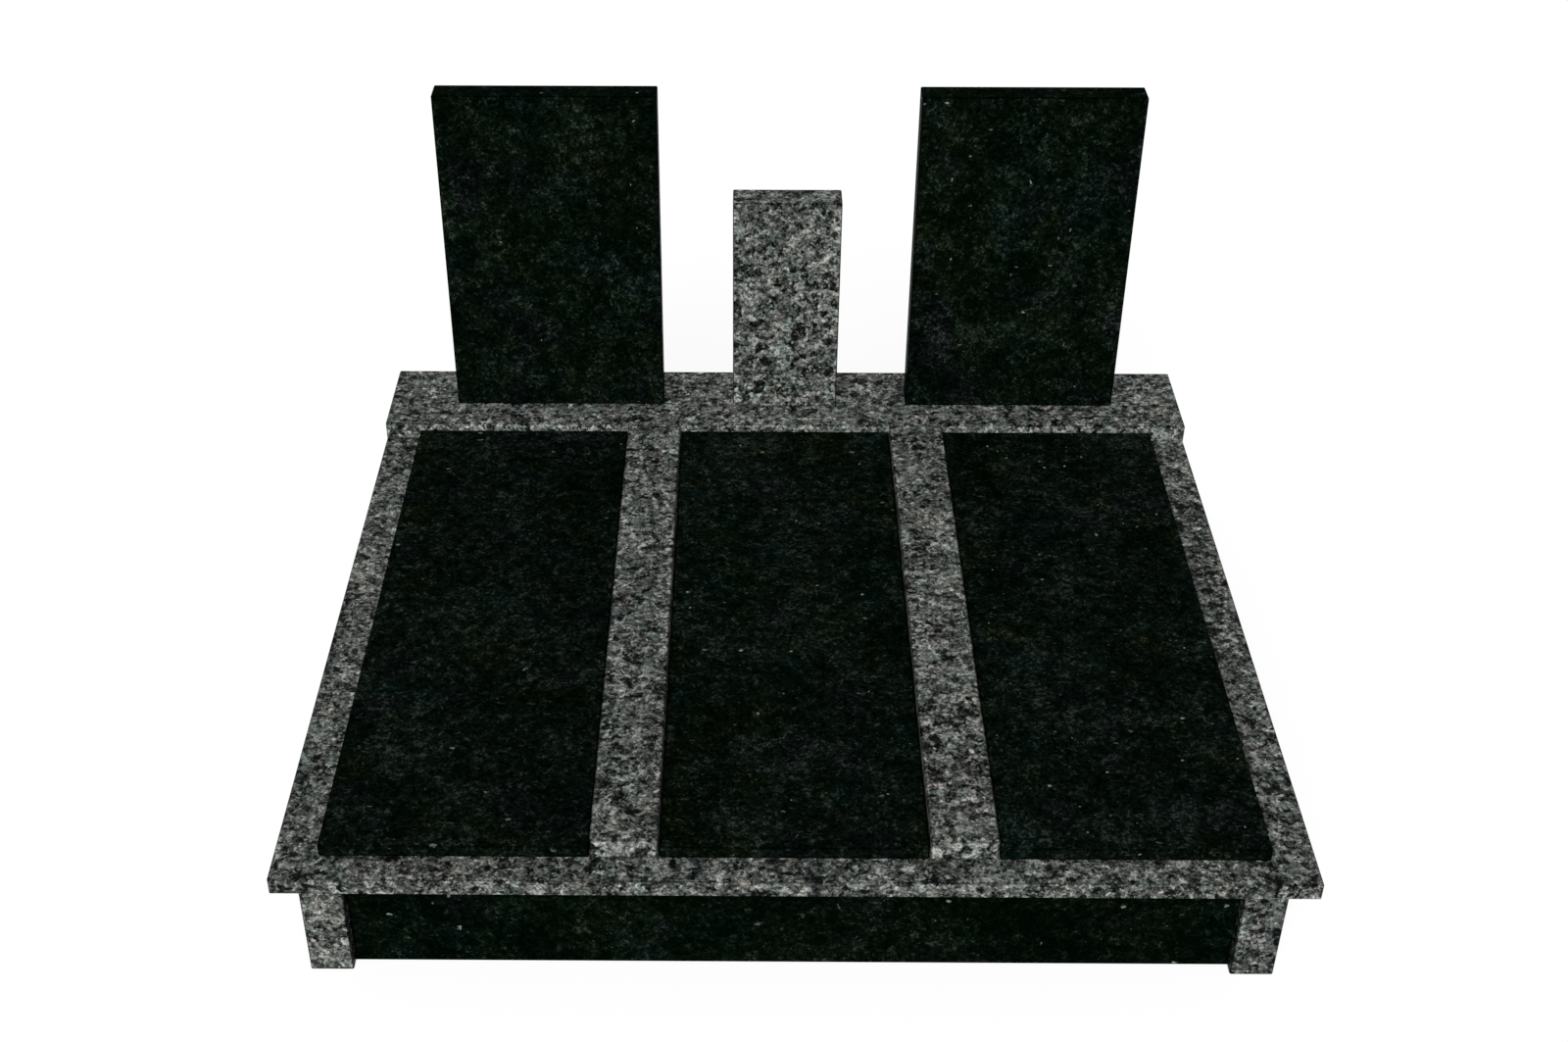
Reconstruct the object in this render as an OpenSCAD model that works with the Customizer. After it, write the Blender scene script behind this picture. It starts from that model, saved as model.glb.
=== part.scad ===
// Double grave monument of polished grey and dark granite.
// Millimetres, +Z up, the front faces -Y, origin on the ground under the middle of the frame.

/* [Frame] */
// Width of the frame over its outer edges
frame_w = 2300; // [2000:10:2600]
// Depth of the frame from its front edge to its back edge
frame_d = 2100; // [1800:10:2500]
// Thickness of the frame's rails and bearers
frame_t = 45; // [30:1:80]
// Width of the bearing that the rails and bearers give the cover slabs, past what stands beside them
bearing_w = 70; // [30:5:100]

/* [Base] */
// Height of the posts and panels, from the ground to the underside of the frame
base_h = 335; // [150:5:500]
// Side of the square corner posts
post_w = 100; // [80:5:140]
// Overhang of the frame over the posts at the front and at the back
end_overhang = 95; // [20:5:140]
// Overhang of the frame over the posts at the two sides
side_overhang = 35; // [10:5:100]
// Thickness of the panels between the posts
panel_t = 30; // [20:1:40]
// Setback of the panels behind the outer faces of the posts
panel_recess = 30; // [5:1:40]

/* [Cover] */
// Thickness of the cover slabs
slab_t = 30; // [20:1:40]
// Frame left bare in front of the cover slabs and dividers
front_margin = 75; // [40:5:200]
// Frame left bare beside the outer cover slabs
side_margin = 100; // [40:5:200]
// Width of the divider strips between the cover slabs
divider_w = 150; // [80:5:220]
// Setting joint round the cover slabs, at the dividers and at the plinth
slab_joint = 3; // [1:0.5:6]

/* [Plinth] */
// Depth of the rear plinth
plinth_d = 300; // [200:5:450]
// Height of the rear plinth and of the dividers, whose tops are level
plinth_h = 50; // [42:1:120]

/* [Headstones] */
// Width of each headstone
headstone_w = 600; // [400:10:700]
// Height of each headstone above the plinth
headstone_h = 950; // [500:10:1300]
// Thickness of each headstone
headstone_t = 75; // [50:5:150]
// Plinth left bare between each headstone and the end of the plinth
headstone_margin_w = 197.5; // [100:2.5:250]
// Width of the centre pillar
pillar_w = 300; // [150:10:400]
// Height of the centre pillar above the plinth
pillar_h = 645; // [300:5:900]
// Thickness of the centre pillar
pillar_t = 90; // [60:5:150]

/* [Finish] */
// Width that the polished arris takes off each face along the exposed edges
arris_w = 3; // [1:0.5:5]

/* [Hidden] */

grey_granite = [0.42, 0.43, 0.43];
dark_granite = [0.04, 0.07, 0.06];

// Sides and ends, as signs along X and Y
LEFT = -1;
RIGHT = 1;
FRONT = -1;
REAR = 1;

// Outer faces of the frame and of the posts
frame_x = frame_w / 2;
frame_y = frame_d / 2;
post_x = frame_x - side_overhang;
post_y = frame_y - end_overhang;

// Levels: top of the frame, of the slabs, and of the plinth and dividers
frame_z = base_h + frame_t;
slab_z = frame_z + slab_t;
plinth_z = frame_z + plinth_h;

// Rails reach past the posts, the bare margin or the plinth, whichever is deepest, by the bearing
front_rail_d = max(front_margin, end_overhang + post_w) + bearing_w;
rear_rail_d = max(plinth_d, end_overhang + post_w) + bearing_w;
side_rail_w = max(side_margin, side_overhang + post_w) + bearing_w;
rail_y0 = -frame_y + front_rail_d;
rail_y1 = frame_y - rear_rail_d;
bearer_w = divider_w + 2 * bearing_w;

// Cover: three equal bays between the side margins and the two dividers
bay_w = (frame_w - 2 * side_margin - 2 * divider_w) / 3;
divider_x = (bay_w + divider_w) / 2;
bay_pitch = bay_w + divider_w;
cover_y0 = -frame_y + front_margin;
plinth_y0 = frame_y - plinth_d;

// Headstones and pillar stand along the middle of the plinth
stone_y = frame_y - plinth_d / 2;
headstone_x = frame_x - headstone_margin_w - headstone_w / 2;

// Which corners of an outline are arrised: lower left, lower right, upper right, upper left.
// A plan is drawn with the rear up, a front outline and a side outline with the top up, and a
// side outline with the rear to the right.
SQUARE = [0, 0, 0, 0];
ALL_FOUR = [1, 1, 1, 1];
LEFT_PAIR = [1, 0, 0, 1];
RIGHT_PAIR = [0, 1, 1, 0];
UPPER_PAIR = [0, 0, 1, 1];
LOWER_PAIR = [1, 1, 0, 0];

// One or two outline points at a corner, cut back where it is arrised
function corner(p, back, ahead, cut) =
    cut == 0 ? [p] : [p + arris_w * back, p + arris_w * ahead];

// Outline of a rectangle from lo to hi with its marked corners arrised
function arrised_outline(lo, hi, cuts) = concat(
    corner([lo[0], lo[1]], [0, 1], [1, 0], cuts[0]),
    corner([hi[0], lo[1]], [-1, 0], [0, 1], cuts[1]),
    corner([hi[0], hi[1]], [0, -1], [-1, 0], cuts[2]),
    corner([lo[0], hi[1]], [1, 0], [0, -1], cuts[3]));

// Sawn block from lo to hi: its plan, its front outline and its side outline, each with arrised
// corners, cut from one another. The edges are named by the axis that they run along.
module granite_block(lo, hi, along_x = SQUARE, along_y = SQUARE, along_z = SQUARE) {
    size = hi - lo;
    intersection() {
        translate([0, 0, lo.z])
            linear_extrude(size.z)
                polygon(arrised_outline([lo.x, lo.y], [hi.x, hi.y], along_z));
        translate([0, hi.y, 0])
            rotate([90, 0, 0])
                linear_extrude(size.y)
                    polygon(arrised_outline([lo.x, lo.z], [hi.x, hi.z], along_y));
        translate([lo.x, 0, 0])
            rotate([90, 0, 90])
                linear_extrude(size.x)
                    polygon(arrised_outline([lo.y, lo.z], [hi.y, hi.z], along_x));
    }
}

// Upright stone on the plinth, centred on x, with all its edges but the lowest arrised
module standing_stone(x, w, t, h) {
    granite_block([x - w / 2, stone_y - t / 2, plinth_z], [x + w / 2, stone_y + t / 2, plinth_z + h],
                  along_x = UPPER_PAIR, along_y = UPPER_PAIR, along_z = ALL_FOUR);
}

// Corner post, from the ground to the frame
module corner_post(side, end) {
    x = side * (post_x - post_w / 2);
    y = end * (post_y - post_w / 2);
    color(grey_granite)
        granite_block([x - post_w / 2, y - post_w / 2, 0], [x + post_w / 2, y + post_w / 2, base_h],
                      along_z = ALL_FOUR);
}

// Panel across the front or the back, between the two posts
module end_panel(end) {
    half_l = post_x - post_w;
    outer = end * (post_y - panel_recess);
    inner = outer - end * panel_t;
    color(dark_granite)
        granite_block([-half_l, min(outer, inner), 0], [half_l, max(outer, inner), base_h]);
}

// Panel along one side, between the two posts
module side_panel(side) {
    half_l = post_y - post_w;
    outer = side * (post_x - panel_recess);
    inner = outer - side * panel_t;
    color(dark_granite)
        granite_block([min(outer, inner), -half_l, 0], [max(outer, inner), half_l, base_h]);
}

// Front rail of the frame, across its whole width
module front_rail() {
    color(grey_granite)
        granite_block([-frame_x, -frame_y, base_h], [frame_x, rail_y0, frame_z],
                      along_x = LEFT_PAIR, along_y = ALL_FOUR, along_z = LOWER_PAIR);
}

// Rear rail of the frame, across its whole width and deep enough to carry the plinth
module rear_rail() {
    color(grey_granite)
        granite_block([-frame_x, rail_y1, base_h], [frame_x, frame_y, frame_z],
                      along_x = RIGHT_PAIR, along_y = ALL_FOUR, along_z = UPPER_PAIR);
}

// Side rail of the frame, between the front rail and the rear rail
module side_rail(side) {
    outer = side * frame_x;
    inner = side * (frame_x - side_rail_w);
    color(grey_granite)
        granite_block([min(outer, inner), rail_y0, base_h], [max(outer, inner), rail_y1, frame_z],
                      along_y = side == LEFT ? LEFT_PAIR : RIGHT_PAIR);
}

// Bearer under a divider, between the front rail and the rear rail
module bearer(side) {
    x = side * divider_x;
    color(grey_granite)
        granite_block([x - bearer_w / 2, rail_y0, base_h], [x + bearer_w / 2, rail_y1, frame_z]);
}

// Cover slab of bay -1, 0 or 1, with a setting joint at each divider and at the plinth
module cover_slab(bay) {
    x0 = bay * bay_pitch - bay_w / 2 + (bay == LEFT ? 0 : slab_joint);
    x1 = bay * bay_pitch + bay_w / 2 - (bay == RIGHT ? 0 : slab_joint);
    color(dark_granite)
        granite_block([x0, cover_y0, frame_z], [x1, plinth_y0 - slab_joint, slab_z],
                      along_x = UPPER_PAIR, along_y = UPPER_PAIR, along_z = ALL_FOUR);
}

// Divider strip between two cover slabs, from their front ends to the plinth
module divider(side) {
    x = side * divider_x;
    color(grey_granite)
        granite_block([x - divider_w / 2, cover_y0, frame_z], [x + divider_w / 2, plinth_y0, plinth_z],
                      along_x = UPPER_PAIR, along_y = UPPER_PAIR, along_z = LOWER_PAIR);
}

// Plinth across the back of the frame, level with the dividers
module rear_plinth() {
    color(grey_granite)
        granite_block([-frame_x, plinth_y0, frame_z], [frame_x, frame_y, plinth_z],
                      along_x = UPPER_PAIR, along_y = UPPER_PAIR, along_z = ALL_FOUR);
}

// Headstone on the plinth
module headstone(side) {
    color(dark_granite)
        standing_stone(side * headstone_x, headstone_w, headstone_t, headstone_h);
}

// Pillar on the plinth, between the headstones
module centre_pillar() {
    color(grey_granite)
        standing_stone(0, pillar_w, pillar_t, pillar_h);
}

corner_post(LEFT, FRONT);  // front_left_post
corner_post(RIGHT, FRONT);  // front_right_post
corner_post(LEFT, REAR);  // rear_left_post
corner_post(RIGHT, REAR);  // rear_right_post
end_panel(FRONT);  // front_panel
end_panel(REAR);  // rear_panel
side_panel(LEFT);  // left_panel
side_panel(RIGHT);  // right_panel
front_rail();
rear_rail();
side_rail(LEFT);  // left_rail
side_rail(RIGHT);  // right_rail
bearer(LEFT);  // left_bearer
bearer(RIGHT);  // right_bearer
cover_slab(LEFT);  // left_slab
cover_slab(0);  // middle_slab
cover_slab(RIGHT);  // right_slab
divider(LEFT);  // left_divider
divider(RIGHT);  // right_divider
rear_plinth();
headstone(LEFT);  // left_headstone
headstone(RIGHT);  // right_headstone
centre_pillar();
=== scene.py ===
"""Double grave monument in grey and dark granite, dressed and lit for a studio picture."""

import math

import bpy
from mathutils import Color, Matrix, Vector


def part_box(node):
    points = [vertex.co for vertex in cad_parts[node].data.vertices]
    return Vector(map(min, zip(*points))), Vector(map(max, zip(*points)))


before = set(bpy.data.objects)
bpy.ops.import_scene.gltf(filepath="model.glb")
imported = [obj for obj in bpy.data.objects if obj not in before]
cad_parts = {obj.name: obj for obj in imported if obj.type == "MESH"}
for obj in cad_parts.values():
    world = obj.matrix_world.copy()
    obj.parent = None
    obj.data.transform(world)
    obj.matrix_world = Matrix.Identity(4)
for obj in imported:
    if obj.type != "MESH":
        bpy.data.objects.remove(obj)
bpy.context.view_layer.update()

# Camera, fitted to the corners of the stones in the photograph
IMAGE_W = 1600
IMAGE_H = 1063
FOCAL_PX = 2078.0
PICTURE_CENTRE_PX = (749.5, 572.65)
CAMERA_PLACE = (-0.106, -4.2396, 3.5263)
CAMERA_PITCH_DEG = 35.659
CAMERA_YAW_DEG = -0.446
SENSOR_MM = 36.0

# Light: an even sky, and one broad soft light from the front
SKY_LIGHT = 0.43
KEY_LIGHT = 2.74
KEY_ELEVATION_DEG = 33.0
KEY_AZIMUTH_DEG = -8.0
KEY_SPREAD_DEG = 40.0

# White background, and a floor that is grey to the stones and nearly white to the eye
WHITE = (1.0, 1.0, 1.0, 1.0)
BACKGROUND_LIGHT = 1.0
FLOOR_HALF_M = 14.0
FLOOR_COLOUR = (0.55, 0.55, 0.55, 1.0)
FLOOR_SHADED_SHARE = (0.16, 0.16, 0.16, 1.0)
FLOOR_WHITE_SHARE = 0.88

# Pieces: the frame is one run of stone, and every other piece is cut from its own place in the rock
FRAME_RUN = ("front_rail", "rear_rail", "left_rail", "right_rail", "left_bearer", "right_bearer")
POSTS = ("front_left_post", "front_right_post", "rear_left_post", "rear_right_post")
GREY_PIECES = (*POSTS, "left_divider", "right_divider", "rear_plinth", "centre_pillar")
PANELS = ("front_panel", "rear_panel", "left_panel", "right_panel")
SLABS = ("left_slab", "middle_slab", "right_slab")
DARK_PIECES = (*PANELS, *SLABS, "left_headstone", "right_headstone")
PLACE_STEP_M = (3.71, 5.13, 2.39)

# Noises: the middle of their values, and the detail and roughness of each
NOISE_MIDDLE = 0.5
WARP_NOISE = (5.0, 0.65)
CLOUD_NOISE = (4.0, 0.6)
CLUMP_NOISE = (3.0, 0.65)
THREAD_NOISE = (2.0, 0.6)
TINT_NOISE = (2.0, 0.5)

# Warps push the sides of cells about by a noise: its scale per metre, and its reach in metres
CRYSTAL_WARP = (70.0, 0.009)
FLECK_WARP = (45.0, 0.012)

# Grain: crystals are (cells per metre, share), a cloud (scale, share), clumps (scale, change, edges)
GREY_CRYSTALS = ((40.0, 0.19), (86.0, 0.36), (190.0, 0.38))
GREY_CLOUD = (14.0, 0.36)
GREY_CLUMPS = ((33.0, -0.31, (0.565, 0.595)), (40.0, 0.25, (0.62, 0.65)))
GREY_MIDDLE = 0.52
DARK_CRYSTALS = ((60.0, 0.12), (112.0, 0.34), (215.0, 0.42))
DARK_CLOUD = (5.5, 0.8)
DARK_CLUMPS = ((24.0, -0.21, (0.42, 0.60)),)
DARK_MIDDLE = 0.545

# Threads are thin pale crystals of the dark stone, along lines that some of the cells break
THREAD_SCALE = 52.0
THREAD_HALF_WIDTH = 0.06
THREAD_CHANGE = 0.30
THREAD_BREAK_SCALE = 75.0
THREAD_BREAK_EDGES = (0.45, 0.80)

# Grey granite: tone runs from black mica through grey feldspar to pale quartz, as sRGB values
GREY_TONES = (
    (0.16, (10, 11, 11)),
    (0.32, (33, 35, 34)),
    (0.48, (68, 71, 68)),
    (0.62, (100, 103, 99)),
    (0.78, (141, 143, 139)),
    (0.96, (192, 192, 188)),
)

# Dark granite: near black, with a fine green mottle, as sRGB values
DARK_TONES = (
    (0.14, (0, 5, 1)),
    (0.30, (3, 8, 4)),
    (0.48, (6, 12, 8)),
    (0.64, (12, 19, 14)),
    (0.80, (23, 30, 25)),
    (0.98, (48, 55, 50)),
)

# Tints: that of the ground, and slow patches of others, each with the edges of its noise
GREY_TINT_SCALE = 17.0
GREY_TINT = (1.00, 1.00, 0.99)
GREY_PATCHES = (
    ((0.50, 0.66), (0.90, 1.00, 0.99)),
    ((0.54, 0.70), (1.06, 0.99, 0.97)),
)
DARK_TINT_SCALE = 6.5
DARK_TINT = (0.92, 1.06, 0.88)
SLAB_TINT = (1.04, 1.03, 0.99)
DARK_PATCHES = (
    ((0.51, 0.67), (0.78, 1.05, 1.16)),
    ((0.53, 0.69), (1.12, 0.95, 1.29)),
    ((0.54, 0.70), (1.04, 1.02, 0.66)),
)

# Pale grains of the dark stone take less of the tint
FULL_TINT = 1.0
PALE_TINT = 0.45
PALE_TONES = (0.62, 0.95)

# Flecks: a few small pale grains in the dark stone, longer one way or the other
FLECK_SCALE = 21.0
FLECK_STRETCHES = ((1.0, 1.0, 0.4), (0.45, 1.0, 1.0))
FLECK_COLOUR = (126, 132, 122)
FLECK_SHARE = 0.9
FLECK_SIZE = (0.03, 0.088)
FLECK_EDGE = 0.02
FLECK_FADE_POWER = 1.2

# Surface: roughness of the dark and of the pale grains, very little gloss, and a low relief
ROUGHNESS_TONES = (0.3, 0.7)
GREY_ROUGHNESS = (0.46, 0.32)
DARK_ROUGHNESS = (0.24, 0.38)
GREY_SPECULAR = 0.01
DARK_SPECULAR = 0.0003
RELIEF_M = 0.001
GREY_RELIEF = 0.05
DARK_RELIEF = 0.03

# Tone that some stones have over the others of their kind
PANEL_LIFT = -0.085
PIECE_LIFT = {
    "front_left_post": 0.035, "front_right_post": -0.01,
    "front_rail": -0.015, "left_rail": -0.015, "right_rail": -0.03, "rear_plinth": 0.005,
    "left_slab": 0.035, "middle_slab": 0.025, "right_slab": 0.02,
    **dict.fromkeys(PANELS, PANEL_LIFT),
}

# Painted light and shade on some faces, over the rest of their stone: paler front ends as painted light,
# and darker sides, headstone tops and recesses as painted shade
RECESS_PAINTED_SHADE = -0.23
PILLAR_SIDE_PAINTED_SHADE = -0.15
HEADSTONE_TOP_PAINTED_SHADE = -0.12
FACE_PAINTED_LIGHT = {
    "front_rail": {"front": 0.015},
    "rear_plinth": {"front": 0.07},
    "left_divider": {"front": 0.11},
    "right_divider": {"front": 0.12},
    "centre_pillar": {"front": 0.03, "left": PILLAR_SIDE_PAINTED_SHADE, "right": PILLAR_SIDE_PAINTED_SHADE},
    "left_headstone": {"top": HEADSTONE_TOP_PAINTED_SHADE},
    "right_headstone": {"top": HEADSTONE_TOP_PAINTED_SHADE},
    # Painted shade in the recesses beside and behind the posts
    "front_left_post": {"right": RECESS_PAINTED_SHADE, "back": RECESS_PAINTED_SHADE},
    "front_right_post": {"left": RECESS_PAINTED_SHADE, "back": RECESS_PAINTED_SHADE},
    "rear_left_post": {"right": RECESS_PAINTED_SHADE, "front": RECESS_PAINTED_SHADE},
    "rear_right_post": {"left": RECESS_PAINTED_SHADE, "front": RECESS_PAINTED_SHADE},
}

# Faces of a block: the number of the axis, then nought for its low end or one for its high end
FACES = {"left": (0, 0), "right": (0, 1), "front": (1, 0), "back": (1, 1), "top": (2, 1)}
FACE_DEPTH_M = 0.004

# Arris lines: the cut edges look darker, and darkest over the inner share of their width
ARRIS_M = 0.0045
ARRIS_CORE_SHARE = 0.35
GREY_ARRIS_SHADE = 0.42
DARK_ARRIS_SHADE = 0.35

# Ends of the rails that butt on another rail, along Y, and so have no arris line
BUTT_LOW = ("rear_rail", "left_rail", "right_rail")
BUTT_HIGH = ("front_rail", "left_rail", "right_rail")
BUTT_CLEAR_M = 0.1

# Sockets of the mix node when it mixes colours
MIX_A = 6
MIX_B = 7
MIX_RESULT = 2

# Full strength of an sRGB channel
SRGB_FULL = 255


def opaque(rgb):
    """RGBA of a colour that lets nothing through."""
    return (*rgb, 1.0)


def linear(srgb):
    """Scene-linear RGBA of an sRGB colour."""
    colour = Color([channel / SRGB_FULL for channel in srgb])
    return opaque(colour.from_srgb_to_scene_linear())


class Graph:
    """Short calls for building the node tree of a material or of the world."""

    def __init__(self, owner):
        owner.use_nodes = True
        self.tree = owner.node_tree
        self.tree.nodes.clear()

    def node(self, kind, inputs=None, **settings):
        """New node with these settings, and with its inputs linked to a socket or set to a value."""
        made = self.tree.nodes.new(kind)
        for key, value in settings.items():
            setattr(made, key, value)
        for name, value in (inputs or {}).items():
            if isinstance(value, bpy.types.NodeSocket):
                self.tree.links.new(value, made.inputs[name])
            else:
                made.inputs[name].default_value = value
        return made

    def coordinates(self):
        """The part's own coordinates, in metres."""
        return self.node("ShaderNodeTexCoord").outputs["Object"]

    def math(self, operation, a, b=0.0):
        return self.node("ShaderNodeMath", {0: a, 1: b}, operation=operation).outputs["Value"]

    def vector(self, operation, a, b=(0.0, 0.0, 0.0)):
        return self.node("ShaderNodeVectorMath", {0: a, 1: b}, operation=operation).outputs["Vector"]

    def axes(self, vector):
        return self.node("ShaderNodeSeparateXYZ", {"Vector": vector}).outputs

    def channels(self, colour):
        return self.node("ShaderNodeSeparateColor", {"Color": colour}).outputs

    def weighted(self, start, value, share):
        """Start, plus a value of nought to one taken about its middle and weighted by its share."""
        offset = self.math("SUBTRACT", value, NOISE_MIDDLE)
        return self.math("ADD", start, self.math("MULTIPLY", offset, share))

    def mix(self, factor, a, b, blend="MIX"):
        inputs = {0: factor, MIX_A: a, MIX_B: b}
        made = self.node("ShaderNodeMix", inputs, data_type="RGBA", blend_type=blend)
        return made.outputs[MIX_RESULT]

    def step(self, value, low, high, to_low=0.0, to_high=1.0):
        """Smooth step from one level to another, as the value goes from low to high."""
        inputs = {"Value": value, "From Min": low, "From Max": high, "To Min": to_low, "To Max": to_high}
        return self.node("ShaderNodeMapRange", inputs, interpolation_type="SMOOTHSTEP").outputs["Result"]

    def ramp(self, value, stops):
        """Colour of a tone, from sRGB colours at their places."""
        made = self.node("ShaderNodeValToRGB", {"Fac": value})
        elements = made.color_ramp.elements
        while len(elements) < len(stops):
            elements.new(1.0)
        for element, (place, colour) in zip(elements, stops):
            element.position = place
            element.color = linear(colour)
        return made.outputs["Color"]

    def noise(self, at, scale, quality):
        detail, roughness = quality
        inputs = {"Vector": at, "Scale": scale, "Detail": detail, "Roughness": roughness}
        return self.node("ShaderNodeTexNoise", inputs).outputs

    def cells(self, at, scale):
        return self.node("ShaderNodeTexVoronoi", {"Vector": at, "Scale": scale}).outputs


def texture_place(graph, place):
    """Coordinates moved to this piece's own place in the rock."""
    return graph.vector("ADD", graph.coordinates(), [place * step for step in PLACE_STEP_M])


def warped(graph, at, warp):
    """Coordinates pushed about by a noise, so that cells lose their straight sides."""
    scale, reach = warp
    push = graph.vector("SUBTRACT", graph.noise(at, scale, WARP_NOISE)["Color"], (NOISE_MIDDLE,) * 3)
    return graph.vector("ADD", at, graph.vector("MULTIPLY", push, (2 * reach,) * 3))


def near_face(graph, piece, face):
    """One on that face of the piece's block and nought behind it, the mask of a face's painted light or
    shade.
    """
    axis, end = FACES[face]
    face_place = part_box(piece)[end][axis]
    along = graph.axes(graph.coordinates())[axis]
    depth = graph.math("ABSOLUTE", graph.math("SUBTRACT", along, face_place))
    return graph.step(depth, 0.0, FACE_DEPTH_M, 1.0, 0.0)


def arris_mask(graph, piece):
    """One along the edges of the piece's block and nought on its faces."""
    low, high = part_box(piece)
    if piece in BUTT_LOW:
        low.y -= BUTT_CLEAR_M
    if piece in BUTT_HIGH:
        high.y += BUTT_CLEAR_M
    middle = (low + high) / 2
    half = (high - low) / 2
    reach = graph.vector("ABSOLUTE", graph.vector("SUBTRACT", graph.coordinates(), middle))
    depth = graph.axes(graph.vector("SUBTRACT", half, reach))
    nearer = graph.math("MINIMUM", depth["X"], depth["Y"])
    farther = graph.math("MAXIMUM", depth["X"], depth["Y"])
    second = graph.math("MAXIMUM", nearer, graph.math("MINIMUM", farther, depth["Z"]))
    return graph.step(second, ARRIS_CORE_SHARE * ARRIS_M, ARRIS_M, 1.0, 0.0)


def crystal_tone(graph, at, piece, middle, crystals, cloud, clumps):
    """Tone of the stone, from cells of three sizes, a slow cloud, and clumps of darker or paler grains,
    with painted light and shade added on some faces.
    """
    cells_at = warped(graph, at, CRYSTAL_WARP)
    cloud_scale, cloud_share = cloud
    start = middle + PIECE_LIFT.get(piece, 0.0)
    tone = graph.weighted(start, graph.noise(at, cloud_scale, CLOUD_NOISE)["Fac"], cloud_share)
    for scale, share in crystals:
        cell = graph.channels(graph.cells(cells_at, scale)["Color"])["Red"]
        tone = graph.weighted(tone, cell, share)
    for scale, change, edges in clumps:
        grains = graph.noise(cells_at, scale, CLUMP_NOISE)["Fac"]
        tone = graph.math("ADD", tone, graph.step(grains, *edges, 0.0, change))
    # Painted light and shade: some faces made paler or darker than the rest of their stone
    for face, painted_light in FACE_PAINTED_LIGHT.get(piece, {}).items():
        tone = graph.math("ADD", tone, graph.math("MULTIPLY", near_face(graph, piece, face), painted_light))
    return tone


def threaded(graph, at, tone):
    """Tone with thin pale crystals, along broken lines where a noise crosses its middle."""
    noise = graph.noise(at, THREAD_SCALE, THREAD_NOISE)["Fac"]
    from_line = graph.math("ABSOLUTE", graph.math("SUBTRACT", noise, NOISE_MIDDLE))
    line = graph.step(from_line, 0.0, THREAD_HALF_WIDTH, THREAD_CHANGE, 0.0)
    chance = graph.channels(graph.cells(at, THREAD_BREAK_SCALE)["Color"])["Green"]
    kept = graph.step(chance, *THREAD_BREAK_EDGES)
    return graph.math("ADD", tone, graph.math("MULTIPLY", line, kept))


def tinted(graph, at, colour, scale, ground, patches, strength):
    """Colour with the tint of the ground, and slow patches of other tints."""
    places = graph.channels(graph.noise(at, scale, TINT_NOISE)["Color"])
    tint = opaque(ground)
    for place, (edges, other) in zip(places, patches):
        tint = graph.mix(graph.step(place, *edges), tint, opaque(other))
    return graph.mix(strength, colour, tint, "MULTIPLY")


def flecked(graph, at, colour, stretch):
    """Colour with a few long pale flecks, of different sizes and strengths."""
    fleck_at = graph.vector("MULTIPLY", warped(graph, at, FLECK_WARP), stretch)
    cells = graph.cells(fleck_at, FLECK_SCALE)
    chance = graph.channels(cells["Color"])
    chosen = graph.math("LESS_THAN", chance["Red"], FLECK_SHARE)
    smallest, largest = FLECK_SIZE
    size = graph.weighted((smallest + largest) / 2, chance["Green"], largest - smallest)
    near = graph.step(graph.math("SUBTRACT", size, cells["Distance"]), 0.0, FLECK_EDGE)
    strength = graph.math("POWER", chance["Blue"], FLECK_FADE_POWER)
    fleck = graph.math("MULTIPLY", graph.math("MULTIPLY", chosen, near), strength)
    return graph.mix(fleck, colour, linear(FLECK_COLOUR))


def edged(graph, piece, colour, shade):
    """Colour darkened along the piece's arrises."""
    darkening = graph.step(arris_mask(graph, piece), 0.0, 1.0, 1.0, shade)
    return graph.mix(1.0, colour, darkening, "MULTIPLY")


def finish_stone(graph, colour, tone, roughness, specular, relief):
    """Surface of the stone, with the roughness and the relief of its grains."""
    bump = graph.node("ShaderNodeBump", {"Strength": relief, "Distance": RELIEF_M, "Height": tone})
    inputs = {
        "Base Color": colour,
        "Roughness": graph.step(tone, *ROUGHNESS_TONES, *roughness),
        "Specular IOR Level": specular,
        "Normal": bump.outputs["Normal"],
    }
    shader = graph.node("ShaderNodeBsdfPrincipled", inputs)
    graph.node("ShaderNodeOutputMaterial", {"Surface": shader.outputs["BSDF"]})


def grey_granite(piece, place):
    """Coarse grey granite of mica, feldspar and quartz crystals."""
    material = bpy.data.materials.new("grey_granite_" + piece)
    graph = Graph(material)
    at = texture_place(graph, place)
    tone = crystal_tone(graph, at, piece, GREY_MIDDLE, GREY_CRYSTALS, GREY_CLOUD, GREY_CLUMPS)
    colour = graph.ramp(tone, GREY_TONES)
    colour = tinted(graph, at, colour, GREY_TINT_SCALE, GREY_TINT, GREY_PATCHES, FULL_TINT)
    colour = edged(graph, piece, colour, GREY_ARRIS_SHADE)
    finish_stone(graph, colour, tone, GREY_ROUGHNESS, GREY_SPECULAR, GREY_RELIEF)
    return material


def dark_granite(piece, place):
    """Near-black granite with a green mottle, thin pale crystals and flecks."""
    material = bpy.data.materials.new("dark_granite_" + piece)
    graph = Graph(material)
    at = texture_place(graph, place)
    tone = crystal_tone(graph, at, piece, DARK_MIDDLE, DARK_CRYSTALS, DARK_CLOUD, DARK_CLUMPS)
    tone = threaded(graph, at, tone)
    ground = SLAB_TINT if piece in SLABS else DARK_TINT
    strength = graph.step(tone, *PALE_TONES, FULL_TINT, PALE_TINT)
    colour = graph.ramp(tone, DARK_TONES)
    colour = tinted(graph, at, colour, DARK_TINT_SCALE, ground, DARK_PATCHES, strength)
    for stretch in FLECK_STRETCHES:
        colour = flecked(graph, at, colour, stretch)
    colour = edged(graph, piece, colour, DARK_ARRIS_SHADE)
    finish_stone(graph, colour, tone, DARK_ROUGHNESS, DARK_SPECULAR, DARK_RELIEF)
    return material


def dress(piece, material):
    """Gives a CAD node its stone."""
    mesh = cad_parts[piece].data
    mesh.materials.clear()
    mesh.materials.append(material)


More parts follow.
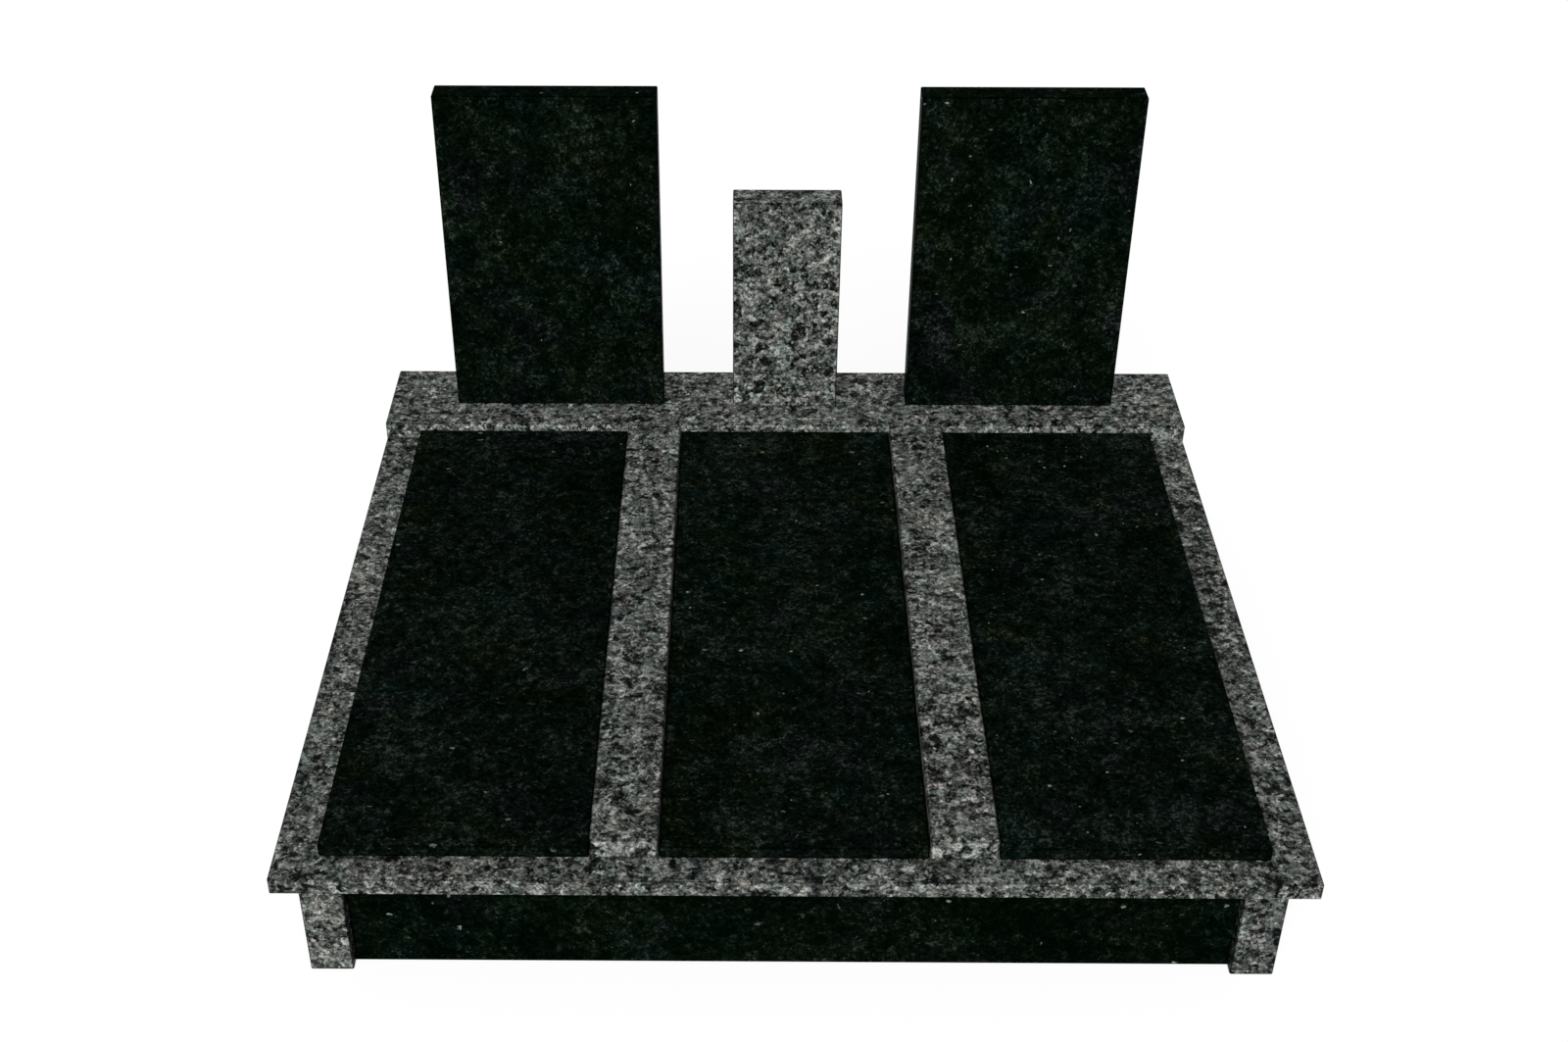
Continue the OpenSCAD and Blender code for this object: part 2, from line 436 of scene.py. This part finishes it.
def dress_all():
    """Every stone of the monument, each from its own place: grey ones count up, and dark ones down."""
    for piece in FRAME_RUN:
        dress(piece, grey_granite(piece, 0))
    for number, piece in enumerate(GREY_PIECES, start=1):
        dress(piece, grey_granite(piece, number))
    for number, piece in enumerate(DARK_PIECES, start=1):
        dress(piece, dark_granite(piece, -number))


def seen_ray(graph):
    """One for rays that show the picture or a reflection, nought for rays that light the stones."""
    path = graph.node("ShaderNodeLightPath").outputs
    shown = graph.math("MAXIMUM", path["Is Camera Ray"], path["Is Glossy Ray"])
    return graph.math("MAXIMUM", shown, path["Is Transmission Ray"])


def chosen_shader(graph, lighting, shown):
    """The first shader for rays that light the stones, and the second for rays that are seen."""
    shaders = {0: seen_ray(graph), 1: lighting.outputs[0], 2: shown.outputs[0]}
    return graph.node("ShaderNodeMixShader", shaders).outputs["Shader"]


def make_world():
    """White background, and an even sky that lights the stones."""
    world = bpy.data.worlds.new("studio_sky")
    bpy.context.scene.world = world
    graph = Graph(world)
    sky = graph.node("ShaderNodeBackground", {"Color": WHITE, "Strength": SKY_LIGHT})
    white = graph.node("ShaderNodeBackground", {"Color": WHITE, "Strength": BACKGROUND_LIGHT})
    graph.node("ShaderNodeOutputWorld", {"Surface": chosen_shader(graph, sky, white)})


def floor_material():
    """Nearly white to the eye, with a faint shadow, and grey for the light that it throws back."""
    material = bpy.data.materials.new("studio_floor")
    graph = Graph(material)
    plain = graph.node("ShaderNodeBsdfDiffuse", {"Color": FLOOR_COLOUR})
    shaded = graph.node("ShaderNodeBsdfDiffuse", {"Color": FLOOR_SHADED_SHARE})
    white = graph.node("ShaderNodeEmission", {"Color": WHITE, "Strength": FLOOR_WHITE_SHARE})
    shown = graph.node("ShaderNodeAddShader", {0: shaded.outputs["BSDF"], 1: white.outputs["Emission"]})
    graph.node("ShaderNodeOutputMaterial", {"Surface": chosen_shader(graph, plain, shown)})
    return material


def make_floor():
    """Plain square floor, at the height of the posts' undersides."""
    half = FLOOR_HALF_M
    corners = [(-half, -half, 0.0), (half, -half, 0.0), (half, half, 0.0), (-half, half, 0.0)]
    mesh = bpy.data.meshes.new("studio_floor")
    mesh.from_pydata(corners, [], [(0, 1, 2, 3)])
    mesh.materials.append(floor_material())
    floor = bpy.data.objects.new("studio_floor", mesh)
    bpy.context.scene.collection.objects.link(floor)


def make_key_light():
    """One broad soft light from the front, a little to the left."""
    lamp = bpy.data.lights.new("key_light", "SUN")
    lamp.energy = KEY_LIGHT
    lamp.angle = math.radians(KEY_SPREAD_DEG)
    key = bpy.data.objects.new("key_light", lamp)
    tilt = math.pi / 2 - math.radians(KEY_ELEVATION_DEG)
    key.rotation_euler = (tilt, 0.0, math.radians(KEY_AZIMUTH_DEG))
    bpy.context.scene.collection.objects.link(key)


def make_camera():
    """Camera at the photograph's place, with the small shift of its framing."""
    data = bpy.data.cameras.new("camera")
    data.sensor_fit = "HORIZONTAL"
    data.sensor_width = SENSOR_MM
    data.lens = SENSOR_MM * FOCAL_PX / IMAGE_W
    data.shift_x = (IMAGE_W / 2 - PICTURE_CENTRE_PX[0]) / IMAGE_W
    data.shift_y = (PICTURE_CENTRE_PX[1] - IMAGE_H / 2) / IMAGE_W
    camera = bpy.data.objects.new("camera", data)
    camera.location = CAMERA_PLACE
    tilt = math.pi / 2 - math.radians(CAMERA_PITCH_DEG)
    camera.rotation_euler = (tilt, 0.0, -math.radians(CAMERA_YAW_DEG))
    bpy.context.scene.collection.objects.link(camera)
    bpy.context.scene.camera = camera


make_camera()
dress_all()
make_world()
make_floor()
make_key_light()
bpy.context.scene.view_settings.view_transform = "Standard"
